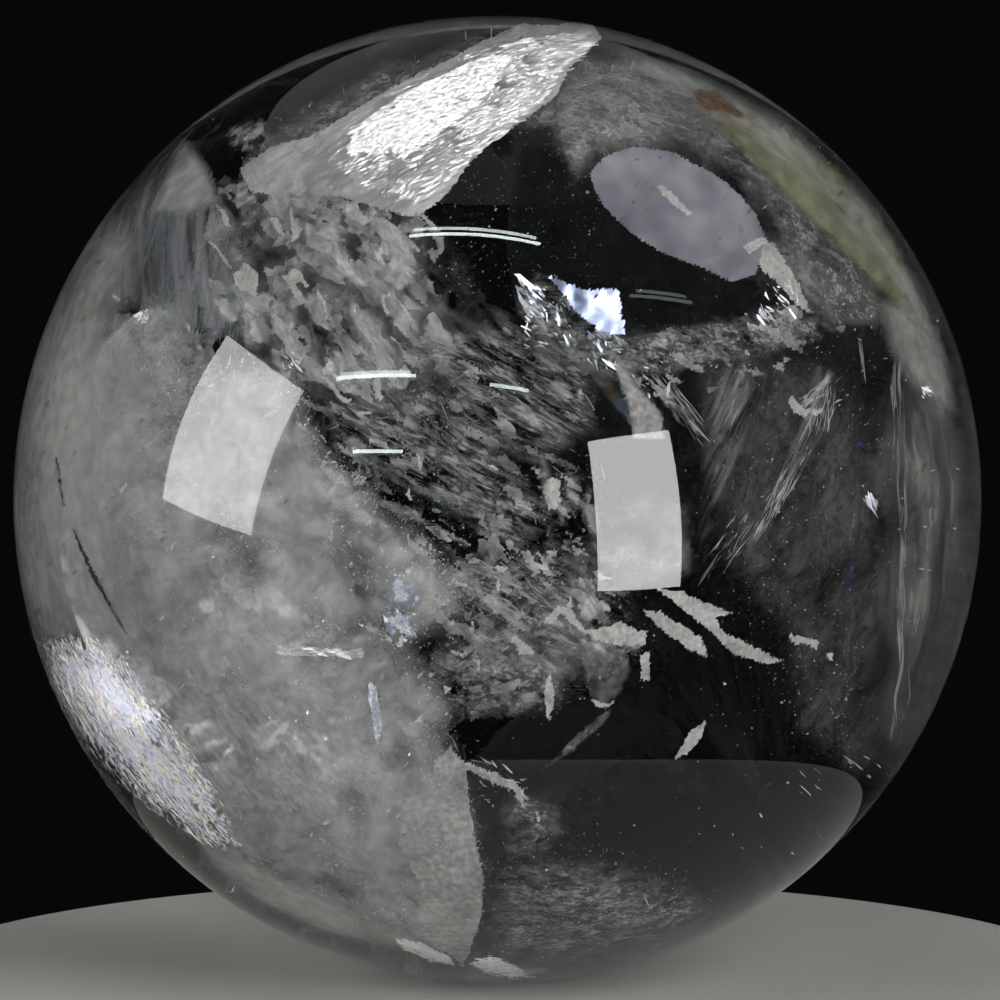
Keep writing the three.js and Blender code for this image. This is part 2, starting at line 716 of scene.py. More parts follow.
# Healed crack full of tiny fluid bubbles: soft, milky, cloudy white
cloudFinish = veilFinish("milkyVeil", dict(
    blotch=7, grain=1.1, tones=("bfc0c2", "dcdcda", "f2f2f0", "c4c5c8"), cover=(0.15, 0.9), contrast=0.16,
    speckle=0.2, through=0.2, fine=0.52))
cloudEdge = [(20, 500), (26, 430), (46, 386), (76, 350), (112, 334), (150, 346), (176, 330), (205, 372),
             (235, 352), (300, 360), (312, 400), (330, 450), (380, 490), (436, 540), (474, 598), (450, 626),
             (424, 650), (440, 680), (455, 700), (462, 770), (478, 810), (486, 870), (484, 920), (470, 958),
             (430, 958), (380, 948), (320, 930), (250, 894), (205, 856), (176, 820), (146, 786), (110, 756),
             (70, 730), (42, 684), (24, 600)]
cloudLook = dict(
    depths=(10, 21),  # mm, of its two layers
    roll=8,  # mm that a layer swells up and down
    rollSize=90,  # pixels from one swell to the next
    cell=5,
    ragged=24,
    fray=22,
    fade=34,
    warp=(6, 120),
)
cloudLayers = []
for number, depth in enumerate(cloudLook["depths"]):
    rolled = []
    for x, y in cloudEdge:
        swell = noise.noise(Vector((x, y, 50 * number)) / cloudLook["rollSize"])
        rolled.append((x, y, depth + cloudLook["roll"] * swell))
    cloudLayers.append(dict(cloudLook, outline=rolled, seed=10 + number))
makeSheets("milky_cloud", cloudLayers, cloudFinish)

# Its dense bottom, which hides the windows' second images, off the far side of the ball

# The same bubbles packed closely: dull grey, and hardly see-through
denseFinish = veilFinish("denseCloud", dict(
    blotch=4, grain=0.7, tones=("8c8c8a", "c9c9c7"), cover=(0.84, 1.0), contrast=0.2, speckle=0.3,
    through=0.2, fine=0.6))
makeSheets("cloud_bottom", [
    dict(outline=[(40, 420), (62, 350), (96, 312), (134, 318), (160, 300), (196, 322), (218, 350),
         (256, 420), (276, 500), (262, 590), (200, 660), (120, 660), (70, 600), (44, 500)], depth=32,
         cell=4, seed=121, ragged=26, fray=26, warp=(3, 60))
], denseFinish)


# The smooth grey skin along the rims, and the gleam in it low at the left

# An even film of the finest bubbles: a smooth grey skin
rimFinish = veilFinish("smoothVeil", dict(
    blotch=14, grain=1.6, tones=("dddcd8", "f4f3ef"), cover=(0.4, 0.8), contrast=0.2, speckle=0.15,
    through=0.22, fine=0.45))
makeSheets("rim_veils", [
    dict(outline=[(-20, 520), (-16, 430), (10, 330), (50, 240), (100, 190), (150, 240), (134, 300),
         (116, 380), (108, 470), (122, 560), (140, 630), (110, 660), (40, 660), (0, 600)], depth=3, fade=36,
         seed=41, ragged=4, warp=(0.6, 90)),
    dict(outline=[(215, 870), (260, 885), (330, 905), (420, 925), (470, 935), (468, 962), (400, 955),
         (320, 935), (262, 905)], depth=7, fade=12, seed=42, ragged=4, warp=(1, 90)),
    dict(outline=[(186, 826), (240, 850), (300, 880), (360, 912), (366, 944), (300, 925), (250, 902),
         (206, 866)], depth=4, fade=14, seed=49, ragged=6, warp=(0.8, 60)),
    dict(outline=[(148, 216), (160, 175), (178, 138), (192, 140), (210, 166), (226, 205), (190, 218)],
         depth=9, cell=2.5, fade=12, seed=43, warp=(0.5, 60)),
    dict(outline=[(874, 296), (905, 300), (934, 326), (952, 366), (962, 416), (936, 410), (904, 380),
         (886, 350)], depth=7, cell=3, fade=14, seed=48, ragged=5, warp=(0.6, 60)),
    dict(outline=[(600, 40), (690, 66), (790, 120), (870, 200), (925, 290), (955, 370), (930, 360),
         (880, 270), (800, 180), (720, 120), (640, 78)], depth=8, fade=14, seed=45, ragged=6, warp=(2, 80)),
], rimFinish)
# Bubbles flattened in one plane: a pearly gleam with silky streaks
gleamFinish = veilFinish("gleamingVeil", dict(
    blotch=4, grain=0.6, tones=("e8e9ec", "ffffff"), streak=(-50, 2), cover=(0.18, 0.92), contrast=0.17,
    speckle=0.25, roughness=0.4, metallic=0.4, fine=0.62))
gleamLook = dict(cell=4, ragged=14, fray=40, warp=(1.6, 60))
makeSheets("gleaming_veil", [
    dict(outline=[(50, 640), (100, 640), (170, 668), (250, 668), (330, 668), (392, 730), (384, 800),
         (320, 836), (240, 828), (180, 812), (110, 752), (70, 722)], depth=4.5, seed=46, fade=40),
    dict(outline=[(200, 560), (300, 580), (350, 640), (300, 668), (220, 650), (170, 610)], depth=4, seed=47,
         fade=34),
], gleamFinish, gleamLook)
# Bubbles drawn out in rows: upright grey streaks, clear between
rightRimFinish = veilFinish("streakyVeil", dict(
    blotch=5, grain=1, tones=("d8d7d2", "f6f5f0"), cover=(0.06, 0.7), streak=(86, 5), contrast=0.2,
    speckle=0.3, through=0.22, fine=0.6))
makeSheets("right_rim_veil", [
    dict(outline=[(895, 310), (935, 340), (962, 410), (976, 480), (976, 550), (962, 630), (935, 700),
         (893, 775), (874, 720), (886, 650), (866, 590), (884, 530), (862, 470), (882, 410)], depth=12,
         fade=44, seed=44, cell=5, ragged=16, warp=(2, 80)),
], rightRimFinish)
print("cloud made")


# The bright feather band, upper left to top

# Ridged healed crack: nearly solid white, streaked like a feather
featherFinish = veilFinish("featherCrack", dict(
    blotch=4, grain=0.5, tones=("efeeec", "ffffff"), streak=(33, 6), through=0.12, roughness=0.35,
    cover=(0.7, 1), contrast=0.16, speckle=0.06))
# Thinly strewn bubbles: a smoky haze with ragged gaps
hazeFinish = veilFinish("smokyVeil", dict(
    blotch=2.6, grain=0.5, tones=("c2c2c0", "f4f4f2"), cover=(0.02, 0.72), contrast=0.16, speckle=0.3,
    through=0.2, fine=0.7))
# Slightly rough air gap turned to the light: frosty bright white
frostFinish = veilFinish("frostedCrack", dict(
    blotch=3, grain=0.5, tones=("eeeeec", "ffffff"), streak=(33, 7), roughness=0.4, metallic=0.8))
# Smoother air gap: small silvery flashes
silverFinish = veilFinish("silverCrack", dict(
    blotch=3, grain=0.4, tones=("e4e5e8", "ffffff"), streak=(33, 4), roughness=0.32, metallic=0.6))
featherEdge = [(240, 168, 16), (270, 146, 14), (308, 136, 12), (340, 116, 11), (378, 94, 10), (410, 78, 9),
               (474, 44, 8), (524, 26, 7), (590, 24, 7), (602, 38, 9), (580, 56, 11), (566, 70, 12),
               (556, 94, 13), (530, 117, 14), (505, 133, 14), (470, 162, 15), (438, 200, 15), (415, 216, 15),
               (380, 210, 15), (340, 196, 15), (290, 195, 16), (250, 190, 17)]
makeSheets("feather_band", [dict(outline=featherEdge, cell=2.5, seed=3, ragged=4, fray=20, streak=(33, 5),
                                 warp=(2.4, 34), lace=(-0.9, 26))], featherFinish)
makeSheets("feather_haze", [
    dict(outline=[(246, 152), (300, 112), (350, 84), (380, 58), (420, 56), (470, 24), (540, 16), (600, 28),
         (560, 50), (440, 100), (330, 160), (270, 180)], depth=17, cell=4, seed=121, ragged=8, fray=24,
         streak=(33, 3), warp=(2, 50), fade=16),
    dict(outline=[(500, 130), (556, 90), (580, 50), (640, 52), (680, 80), (700, 120), (650, 150),
         (600, 150), (575, 190), (552, 130)], depth=18, cell=4, seed=122, ragged=8, fray=24, warp=(2, 50),
         fade=14),
], hazeFinish)
glowLook = dict(size=0.06, along=33, flash=towardsFill)
makeFlakes("feather_glow", [
    dict(outline=[(350, 152), (356, 126), (410, 90), (480, 58), (510, 56), (490, 90), (450, 124),
         (404, 158), (370, 168)], depths=(3, 6), count=9000, size=0.075, seed=54, sway=7, stretch=(2, 7),
         scatter=0.12, lace=(-0.3, 5)),
    dict(outline=[(470, 64), (524, 38), (592, 30), (594, 44), (562, 66), (550, 92), (524, 114), (500, 126),
         (460, 140), (450, 110)], depths=(4, 7), count=6500, seed=55, along=36, sway=8, stretch=(3, 10),
         scatter=0.2, lace=(-0.15, 3)),
    dict(outline=[(330, 160), (350, 116), (410, 80), (480, 48), (590, 30), (590, 50), (550, 92), (500, 130),
         (430, 180), (380, 196)], depths=(4, 7), count=2600, seed=62, sway=8, stretch=(3, 12), scatter=0.3,
         lace=(0, 3)),
    dict(outline=[(390, 190), (440, 152), (500, 126), (520, 118), (500, 134), (450, 178), (424, 206)],
         depths=(5, 8), count=1500, seed=56, sway=6, stretch=(3, 12), scatter=0.25, lace=(-0.1, 3)),
], frostFinish, glowLook)


# Torn lace of cracks between the band and the middle, and thin films behind it

# Healed crack torn to lace: white patches with clear gaps between
laceFinish = veilFinish("tornVeil", dict(
    blotch=5, grain=0.8, tones=("dedddb", "ffffff"), through=0.22, cover=(0, 0.85), contrast=0.14,
    speckle=0.15, fine=0.66))
# Crack broken into angular chips, each of its own density: white scales
chipFinish = veilFinish("chippedVeil", dict(
    blotch=5, grain=0.8, tones=("d6d5d2", "ffffff"), through=0.22, streak=(-56, 2.4), chips=1.5,
    cover=(0.15, 0.95), contrast=0.24, speckle=0.15, fine=0.55))
chipLook = dict(cell=2.5)
makeSheets("chipped_lace", [
    dict(outline=[(232, 175), (290, 178), (345, 190), (400, 212), (438, 236), (436, 290), (470, 330),
         (440, 372), (392, 392), (335, 395), (290, 368), (250, 330), (215, 290), (196, 238)], depth=16,
         seed=61, ragged=18, fray=24, streak=(-56, 2.6), lace=(-0.05, 22), warp=(1.5, 60)),
    dict(outline=[(250, 190), (330, 185), (400, 215), (430, 225), (400, 262), (350, 262), (300, 250)],
         depth=14, seed=62, ragged=14, fray=20, streak=(-50, 2.4), lace=(-0.08, 18), warp=(1.2, 50)),
], chipFinish, chipLook)
laceLook = dict(cell=2.5)
makeSheets("torn_lace", [
    dict(outline=[(300, 392), (420, 352), (500, 380), (560, 430), (590, 520), (600, 600), (540, 640),
         (470, 600), (420, 540), (340, 505), (290, 460)], depth=28, seed=63, ragged=20, fray=24,
         streak=(-28, 3), lace=(0.3, 13), warp=(6, 60)),
    dict(outline=[(300, 420), (400, 440), (470, 500), (540, 545), (590, 590), (655, 628), (640, 652),
         (560, 640), (500, 690), (452, 660), (400, 560), (320, 500)], depth=24, seed=64, ragged=18, fray=22,
         streak=(-35, 2.2), lace=(0.2, 14), warp=(4, 60)),
    dict(outline=[(440, 560), (520, 560), (560, 620), (520, 700), (470, 720), (440, 660)], depth=30,
         seed=65, ragged=16, fray=20, streak=(20, 2), lace=(0.2, 10), warp=(4, 60)),
    dict(outline=[(600, 330), (700, 330), (790, 300), (850, 330), (760, 380), (650, 400)], depth=26,
         seed=68, ragged=14, fray=20, streak=(-30, 2), lace=(0.24, 12), warp=(5, 60)),
], laceFinish, laceLook)
makeSheets("deep_lace", [
    dict(outline=[(170, 470), (220, 400), (290, 420), (400, 560), (420, 760), (420, 860), (320, 820),
         (240, 740), (184, 620)], depth=depth, seed=130 + depth, cell=6, ragged=30, fray=50, fade=40,
         lace=(level, 30), warp=(9, 120))
    for depth, level in ((46, -0.05), (62, 0.05))
], laceFinish)
# Very thin film: a soft grey bloom behind the sharper cracks
backingFinish = veilFinish("softVeil", dict(
    blotch=5, grain=0.7, tones=("bdbdbb", "f2f2f0"), cover=(0.0, 0.5), contrast=0.16, speckle=0.3,
    through=0.2, fine=0.6))
makeSheets("soft_backing", [
    dict(outline=[(215, 180), (300, 170), (420, 205), (470, 260), (500, 340), (470, 400), (380, 430),
         (300, 400), (240, 350), (200, 280)], depth=27, cell=6, seed=101, fade=36, ragged=12, warp=(5, 70)),
    dict(outline=[(430, 600), (520, 590), (600, 610), (650, 640), (580, 690), (480, 710), (430, 660)],
         depth=40, cell=6, seed=102, fade=40, ragged=14, warp=(5, 70)),
    dict(outline=[(560, 60), (680, 70), (800, 150), (880, 250), (900, 330), (820, 330), (760, 290),
         (600, 200), (540, 140)], depth=24, cell=6, seed=103, fade=30, ragged=12, warp=(4, 70)),
    dict(outline=[(614, 358), (638, 364), (654, 400), (666, 440), (638, 440), (626, 402)], depth=16, cell=3,
         seed=104, fade=4, ragged=2, warp=(0.5, 40)),
    dict(outline=[(582, 652), (600, 645), (626, 648), (631, 670), (620, 694), (606, 706), (592, 700),
         (584, 680)], depth=19, cell=2.5, seed=109, fade=3, warp=(0.3, 40)),
    dict(outline=[(537, 450), (546, 446), (553, 478), (552, 508), (542, 506)], depth=14, cell=2.5, seed=110,
         fade=4, warp=(0.3, 40)),
    dict(outline=[(560, 560), (606, 506), (650, 484), (690, 510), (696, 574), (650, 588), (606, 606),
         (576, 596)], depth=15, cell=3, seed=97, fade=14, ragged=4, warp=(1, 40)),
], backingFinish)
# Crack with a frosted face: even, pale and nearly solid
lobeFinish = veilFinish("frostedPlane", dict(
    blotch=5, grain=0.6, tones=("c9c8c5", "f0efec"), cover=(0.45, 1), contrast=0.2, speckle=0.15,
    through=0.2, fine=0.62))
makeSheets("frosted_lobe", [
    dict(outline=[(450, 746), (466, 764), (468, 800), (477, 848), (484, 881), (481, 917), (470, 950),
         (462, 966), (452, 956), (424, 940), (410, 931), (423, 890), (399, 845), (404, 800), (430, 790),
         (436, 760)], depth=7, cell=3, seed=105, ragged=1, warp=(1.2, 60)),
    dict(outline=[(612, 362), (624, 364), (640, 388), (662, 412), (666, 440), (632, 440), (626, 402)],
         depth=15, cell=2.5, seed=95, fade=3, ragged=2, fray=9, warp=(0.3, 40)),
], lobeFinish)
# Bubbles gathered in droplets: a fine mottle like frost on a pane
mottleFinish = veilFinish("mottledVeil", dict(
    blotch=1.3, grain=0.3, tones=("c4c4c4", "ffffff"), streak=(-12, 2), cover=(0, 0.6), contrast=0.13,
    speckle=0.4, through=0.2, fine=0.75))
mottleLook = dict(cell=4, ragged=8, warp=(2, 60))
makeSheets("mottled_veils", [
    dict(outline=[(484, 870), (520, 850), (580, 850), (640, 862), (700, 884), (720, 910), (700, 936),
         (640, 960), (560, 972), (484, 966)], depth=9, cell=5, seed=106, fade=34, ragged=12),
    dict(outline=[(496, 806), (524, 790), (556, 796), (570, 830), (540, 862), (504, 856)], depth=12,
         seed=107, fade=16),
    dict(outline=[(410, 650), (470, 640), (540, 655), (590, 660), (560, 710), (500, 722), (440, 716)],
         depth=22, seed=108, fade=18),
    dict(outline=[(700, 110), (760, 150), (830, 200), (880, 270), (890, 330), (830, 330), (786, 260),
         (766, 210), (700, 150)], depth=17, seed=123, fade=18),
    dict(outline=[(560, 60), (640, 56), (720, 90), (740, 150), (660, 142), (600, 150), (575, 190),
         (552, 140)], depth=15, seed=124, fade=14),
    dict(outline=[(600, 330), (700, 322), (790, 300), (850, 330), (800, 350), (700, 370), (640, 380)],
         depth=22, seed=125, fade=14),
    dict(outline=[(510, 300), (536, 272), (580, 300), (606, 340), (640, 360), (640, 390), (580, 370),
         (530, 336)], depth=24, seed=96, fade=10),
], mottleFinish, mottleLook)
print("lace made")


# Torn films and shards, from 13 mm across down

# Fresh break with a matt face: flat, pale and solid
shardFinish = veilFinish("flatCrack", dict(
    blotch=3, grain=0.4, tones=("d2d0cc", "f4f3f0"), through=0.3))
# Small healed films in angular scales: pale and broken up
filmFinish = veilFinish("tornFilm", dict(
    blotch=2.6, grain=0.6, tones=("d8d7d4", "ffffff"), through=0.2, streak=(-50, 2.2), chips=1.1,
    cover=(0.1, 0.9), contrast=0.24, speckle=0.12, fine=0.55))
upperLeft = [(228, 180), (300, 180), (390, 215), (424, 250), (430, 320), (396, 392), (330, 396), (270, 360),
             (205, 290)]
middlePart = [(300, 400), (430, 350), (520, 400), (590, 500), (620, 600), (540, 660), (460, 620), (380, 560),
              (310, 500)]
lowMiddle = [(440, 560), (540, 540), (600, 580), (650, 630), (600, 660), (520, 720), (460, 700)]
filmPatches = [
    dict(outline=upperLeft, count=60, length=(40, 130), aspect=(1.6, 3.2), along=-58, sway=20,
         depths=(6, 22), seed=151, fade=7, cell=3),
    dict(outline=middlePart, count=22, length=(14, 50), aspect=(1.8, 4), along=-32, sway=24,
         depths=(16, 36), seed=152),
    dict(outline=lowMiddle, count=20, length=(14, 44), aspect=(1.6, 4), along=-30, sway=40, depths=(14, 34),
         seed=153),
    dict(outline=cloudEdge, count=36, length=(16, 46), aspect=(1.3, 3), along=-40, sway=50, depths=(3, 12),
         seed=154, fade=6, cell=3.5),
    dict(outline=[(480, 330), (560, 300), (660, 345), (680, 420), (560, 420)], count=22, length=(14, 50),
         aspect=(1.6, 4), along=-45, sway=25, depths=(14, 30), seed=156),
    dict(outline=[(222, 152), (252, 116), (300, 104), (334, 124), (300, 158), (246, 176)], count=18,
         length=(16, 52), aspect=(1.2, 2.4), along=20, sway=50, depths=(8, 18), seed=157),
    dict(outline=[(556, 480), (594, 470), (606, 560), (600, 612), (566, 612), (548, 540)], count=16,
         length=(16, 60), aspect=(1.6, 3), along=-50, sway=24, depths=(10, 20), seed=158),
]
makeSheets("torn_shards", [sheet for s in [
    dict(outline=upperLeft, count=15, length=(26, 64), aspect=(2, 4.5), along=-58, sway=16, depths=(7, 13),
         seed=161, torn=0.22, cell=1.8, fade=0.01),
    dict(outline=middlePart, count=7, length=(10, 26), aspect=(2, 5), along=-30, sway=30, depths=(12, 18),
         seed=162, fade=0.01),
    dict(outline=lowMiddle, count=9, length=(10, 32), aspect=(2, 5), along=-25, sway=40, depths=(11, 18),
         seed=163, fade=0.01),
] for sheet in patchSheets(s)], shardFinish, smooth=False)
makeSheets("torn_films", [sheet for s in filmPatches for sheet in patchSheets(s)], filmFinish)


# The oval lilac plane, upper right

# Fluid in one thin plane: a dull lilac tint with soft patches
lilacFinish = veilFinish("lilacCrack", dict(
    blotch=9, grain=4, tones=("9a94a4", "c4bdc8"), through=0.2, cover=(0.75, 1), contrast=0.2, speckle=0.1,
    fine=0.7))
makeSheets("lilac_plane", [
    dict(outline=[(590, 173, 14), (605, 157, 13), (632, 146, 12), (672, 152, 12), (710, 172, 12),
         (735, 190, 13), (757, 215, 13), (766, 238, 14), (755, 275, 17), (732, 282, 18), (700, 267, 18),
         (660, 252, 18), (630, 232, 17), (607, 210, 16), (595, 190, 15)], cell=2.5, seed=5, ragged=1,
         fray=18, warp=(0.4, 60)),
], lilacFinish)


# The stained veil under the upper right rim, and its iron-brown patch

# Healed crack stained by iron: a dull yellow-green
stainFinish = veilFinish("stainedVeil", dict(
    blotch=8, grain=2.5, tones=("94966f", "bdbfa2"), through=0.2, cover=(0.4, 1), contrast=0.2, speckle=0.1,
    fine=0.55))
makeSheets("stained_veil", [
    dict(outline=[(690, 100, 9), (712, 96, 8), (745, 108, 8), (790, 128, 7), (840, 168, 7), (880, 212, 7),
         (908, 262, 8), (925, 312, 9), (930, 352, 10), (910, 340, 14), (885, 300, 15), (860, 272, 15),
         (828, 240, 14), (790, 205, 13), (752, 165, 12), (722, 134, 11)], cell=4, seed=71, ragged=5,
         fray=20, warp=(1, 60), fade=9),
], stainFinish)
# Iron rust in the same crack: brown
ironFinish = veilFinish("ironStain", dict(
    blotch=2, grain=0.8, tones=("6b523c", "9a7c5e"), through=0.2, cover=(0.8, 1), contrast=0.2,
    speckle=0.2))
makeSheets("iron_patch", [
    dict(outline=[(692, 94), (700, 87), (716, 90), (735, 104), (747, 116), (738, 120), (722, 112),
         (706, 112), (697, 105)], depth=6, cell=2, seed=72, ragged=2, fray=9, fade=3, warp=(0.3, 20)),
], ironFinish)
print("stain made")


# Flat bright shards right of the middle, the wedge under the oval, and two flecks on the oval

shardOutlines = [
    [(655, 588), (680, 592), (732, 613), (715, 618), (724, 632), (782, 661), (768, 664), (735, 655),
     (700, 622)],
    [(642, 610), (660, 612), (700, 636), (709, 658), (690, 650), (662, 630)],
    [(789, 635), (806, 637), (820, 643), (816, 650), (804, 642), (796, 645)],
    [(826, 655), (833, 653), (831, 661)],
    [(740, 247), (760, 237), (775, 245), (785, 260), (802, 290), (810, 310), (800, 308), (784, 290),
     (766, 272)],
    [(544, 690), (551, 672), (554, 700), (549, 724), (545, 708)],
    [(788, 399), (793, 396), (797, 403), (805, 409), (822, 409), (821, 413), (804, 416), (794, 412)],
    [(640, 655), (650, 652), (650, 682), (642, 680)],
    [(464, 762), (480, 767), (497, 774), (512, 780), (523, 790), (529, 802), (518, 794), (508, 788),
     (494, 783), (480, 776), (466, 768)],
    [(519, 790), (527, 806), (523, 808), (516, 796)],
    [(536, 808), (541, 821), (537, 822)],
    [(585, 630), (600, 628), (620, 622), (645, 632), (647, 645), (620, 646), (595, 640), (572, 625),
     (560, 610), (570, 607)],
    [(548, 478), (560, 480), (560, 508), (549, 510), (545, 494)],
    [(590, 698), (604, 704), (618, 698), (608, 708), (597, 706)],
    [(675, 758), (690, 732), (706, 720), (702, 736), (688, 754)],
]
makeSheets("oval_fleck", [
    dict(outline=[(656, 186), (662, 185), (676, 197), (692, 213), (688, 216), (674, 206), (664, 196)],
         depth=10, cell=1.5, seed=118, ragged=1.5, fray=5, warp=(0.2, 30)),
    dict(outline=[(742, 246), (762, 237), (768, 241), (750, 254)], depth=11, cell=2, seed=119,
         warp=(0.2, 30)),
], shardFinish, smooth=False)
makeSheets("flat_shards", [
    dict(outline=outline, depth=20, cell=2.5, seed=20 + number, ragged=2, fray=7, warp=(1, 40))
    for number, outline in enumerate(shardOutlines)
], shardFinish, smooth=False)


# Cracks that mirror the lamps, a prismatic one upper left, and glinting flakes low left and at the bottom
# that stand in for lamp light focused through the ball

# Wide open crack that mirrors a lamp: a bluish metallic glance
flashFinish = veilFinish("mirrorCrack", dict(
    blotch=3, grain=1.2, tones=("7f89ad", "c2cce8"), roughness=0.42, metallic=1))
# The same in small folds: pale blue and white sparkle
blueFinish = veilFinish("blueFold", dict(
    blotch=1.2, grain=0.4, tones=("b4c2da", "ffffff"), roughness=0.42, metallic=0.8))
# Thin crack in streaks: nearly clear, with faint prismatic tints
prismFinish = veilFinish("prismCrack", dict(
    blotch=1.4, grain=0.4, streak=(((160, 320), (160, 200), 13), 12), through=0.2,
    tones=("d8d8d8", "e4d8d0", "ececec", "ccd6e2", "e2d4de", "dae2d8"), cover=(0.1, 0.6), contrast=0.14,
    speckle=0.2))
makeSheets("mirror_cracks", [
    dict(outline=[(548, 275), (585, 290), (618, 288), (626, 335), (600, 332), (575, 310)], depth=18,
         flash=towardsRight, cell=3, seed=81, ragged=2, fray=9, warp=(0.12, 50)),
    dict(outline=[(373, 560), (410, 568), (420, 610), (392, 640), (376, 600)], depth=18, flash=towardsLeft,
         cell=2.5, seed=83, ragged=5, fray=9, warp=(0.8, 24), lace=(0, 12)),
    dict(outline=[(278, 646), (362, 650), (362, 657), (280, 655)], depth=12, flash=towardsLeft, cell=2,
         seed=84, ragged=2, fray=7, warp=(0.3, 20)),
], flashFinish)
makeSheets("prism_cracks", [
    dict(outline=[(70, 300), (96, 240), (128, 190), (150, 165), (228, 205), (246, 280), (236, 345),
         (190, 340), (140, 320)], depth=13, cell=4, seed=87, streak=(90, 5), ragged=8, warp=(0.8, 60),
         fade=18),
], prismFinish)
# Painted glint: metallic flakes turned to mirror a lamp stand in for lamp light that the ball focuses, silky
# white with painted rainbow tints for the split light
lampGlintFinish = veilFinish("paintedLampGlint", dict(
    blotch=1.3, grain=0.6, streak=(-50, 3), roughness=0.4, metallic=0.75,
    tones=("ffffff", "fff2de", "ffffff", "e4ecff", "ffecf5", "fffbf0")))
lampGlintLook = dict(size=0.06)
# These flakes mirror the left lamp and the fill in place of the lamp light that the ball focuses low left and
# at the bottom; their rainbow tints are painted
makeFlakes("lamp_glint_flakes", [
    dict(outline=[(78, 666), (112, 666), (164, 714), (146, 744), (100, 718)], depths=(1.8, 2.1), count=2600,
         seed=85, along=-46, sway=14, stretch=(1.2, 3.5), flash=towardsLeft, scatter=0.08, lace=(-0.6, 3),
         soft=24),
    dict(outline=[(36, 636), (92, 634), (130, 664), (168, 716), (214, 784), (246, 850), (200, 846),
         (136, 802), (80, 744), (44, 690)], depths=(2.2, 2.8), count=15000, size=0.04, seed=88, along=-44,
         sway=10, stretch=(2, 8), flash=towardsLeft, scatter=0.15, lace=(-0.5, 2.5), soft=60),
    dict(outline=[(390, 936), (420, 941), (448, 955), (456, 966), (430, 962), (404, 950)],
         depths=(2.2, 2.6), count=1300, soft=9, seed=86, along=-24, stretch=(1.5, 5), flash=towardsFill,
         scatter=0.15),
    dict(outline=[(468, 964), (490, 955), (515, 964), (536, 978), (510, 980), (485, 974)],
         depths=(2.2, 2.6), count=1500, soft=9, seed=94, along=-24, stretch=(1.5, 5), flash=towardsFill,
         scatter=0.15),
], lampGlintFinish, lampGlintLook)


# Thin cracks that show dim rainbow colours

# Narrow crack in the colours of a thin layer: dim red, gold, green, blue
rainbowFinish = veilFinish("rainbowCrack", dict(
    blotch=1.8, grain=0.5, roughness=0.35, cover=(0.2, 0.9), contrast=0.15, speckle=0.3, through=0.2,
    tones=("6a3420", "7c5a2a", "2f5040", "2c3f70", "5a3050")))
makeSheets("rainbow_cracks", [
    dict(outline=[(588, 368), (606, 370), (630, 402), (642, 434), (624, 420), (602, 394)], depth=15, cell=2,
         seed=126, fade=4, warp=(0.3, 30)),
    dict(outline=[(740, 742), (746, 746), (760, 776), (754, 776)], depth=20, cell=1.5, seed=127, fade=2,
         warp=(0.3, 30)),
    dict(outline=[(838, 600), (848, 560), (858, 500), (864, 520), (856, 590), (844, 650)], depth=18, cell=2,
         seed=128, fade=4, warp=(0.6, 30)),
    dict(outline=[(438, 492), (448, 500), (452, 522), (442, 516)], depth=13, cell=1.5, seed=129, fade=2,
         warp=(0.3, 30)),
    dict(outline=[(886, 388), (892, 392), (870, 440), (852, 468), (838, 502), (830, 504), (846, 460),
         (866, 422)], depth=10, cell=1.5, seed=99, fade=3, warp=(0.3, 30)),
], rainbowFinish)


# The upright crack near the right rim, seen nearly edge-on, and two faint ones

makeSheets("side_cracks", [
    dict(spine=[(889, 338), (893, 450), (896, 560), (896, 680), (886, 760), (872, 804)], depths=(6, 36),
         lean=13, wave=5, lace=(0.0, 4), seed=91, columns=80, cell=3),
    dict(spine=[(858, 338), (862, 380), (868, 412)], depths=(10, 24), lean=4, wave=2, lace=(0, 3), seed=92,
         columns=30, cell=3),
], laceFinish, build=sideCrackInto)
# Open crack seen edge-on: dark, smooth and glossy
darkCrackFinish = veilFinish("clearCrack", dict(
    blotch=3, grain=0.4, tones=("4a4a4c", "6a6a6c"), roughness=0.12))
makeSheets("left_crack", [
    dict(spine=[(50, 430), (62, 500), (90, 570), (128, 640), (166, 698)], depths=(2, 5), lean=1.6, wave=5,
         lace=(0.02, 2.2), seed=93, columns=6, cell=2),
], darkCrackFinish, build=sideCrackInto)
print("cracks made")


# Dust, flecks, fibres and combed threads

# Loose matt chips: pale dust
flakeFinish = veilFinish("flakeSparkle", dict(
    blotch=3, grain=0.4, tones=("b4b4b2", "ffffff"), through=0.2))
cottonPatch = [(70, 340), (96, 296), (154, 290), (190, 322), (206, 384), (180, 420), (130, 400), (90, 376)]
makeFlakes("cloud_dust", [
    dict(outline=cloudEdge, depths=(3, 24), count=9000, size=0.05, seed=31, lace=(0.1, 7)),
    dict(outline=cloudEdge, depths=(3, 14), count=500, size=0.18, seed=30, lace=(0.15, 9), stretch=(1, 3)),
    dict(outline=cottonPatch, depths=(3, 8), count=5000, size=0.035, seed=50, lace=(0.0, 2.5), soft=22),
], flakeFinish)
makeFlakes("cloud_flecks", [
    dict(outline=cloudEdge, depths=(2, 9), count=3600, size=0.036, seed=32, along=-30, sway=50,
         stretch=(1, 2.4), lace=(0.05, 5), flash=towardsLeft, scatter=0.5),
    dict(outline=cloudEdge, depths=(2, 9), count=3600, size=0.036, seed=49, along=-30, sway=50,
         stretch=(1, 2.4), lace=(0.05, 5), flash=towardsFill, scatter=0.5),
    dict(outline=[(278, 646), (362, 650), (362, 657), (280, 655)], depths=(2, 4), count=260, size=0.07,
         seed=57, along=-3, sway=8, stretch=(2, 7), flash=towardsLeft, scatter=0.2),
], silverFinish)
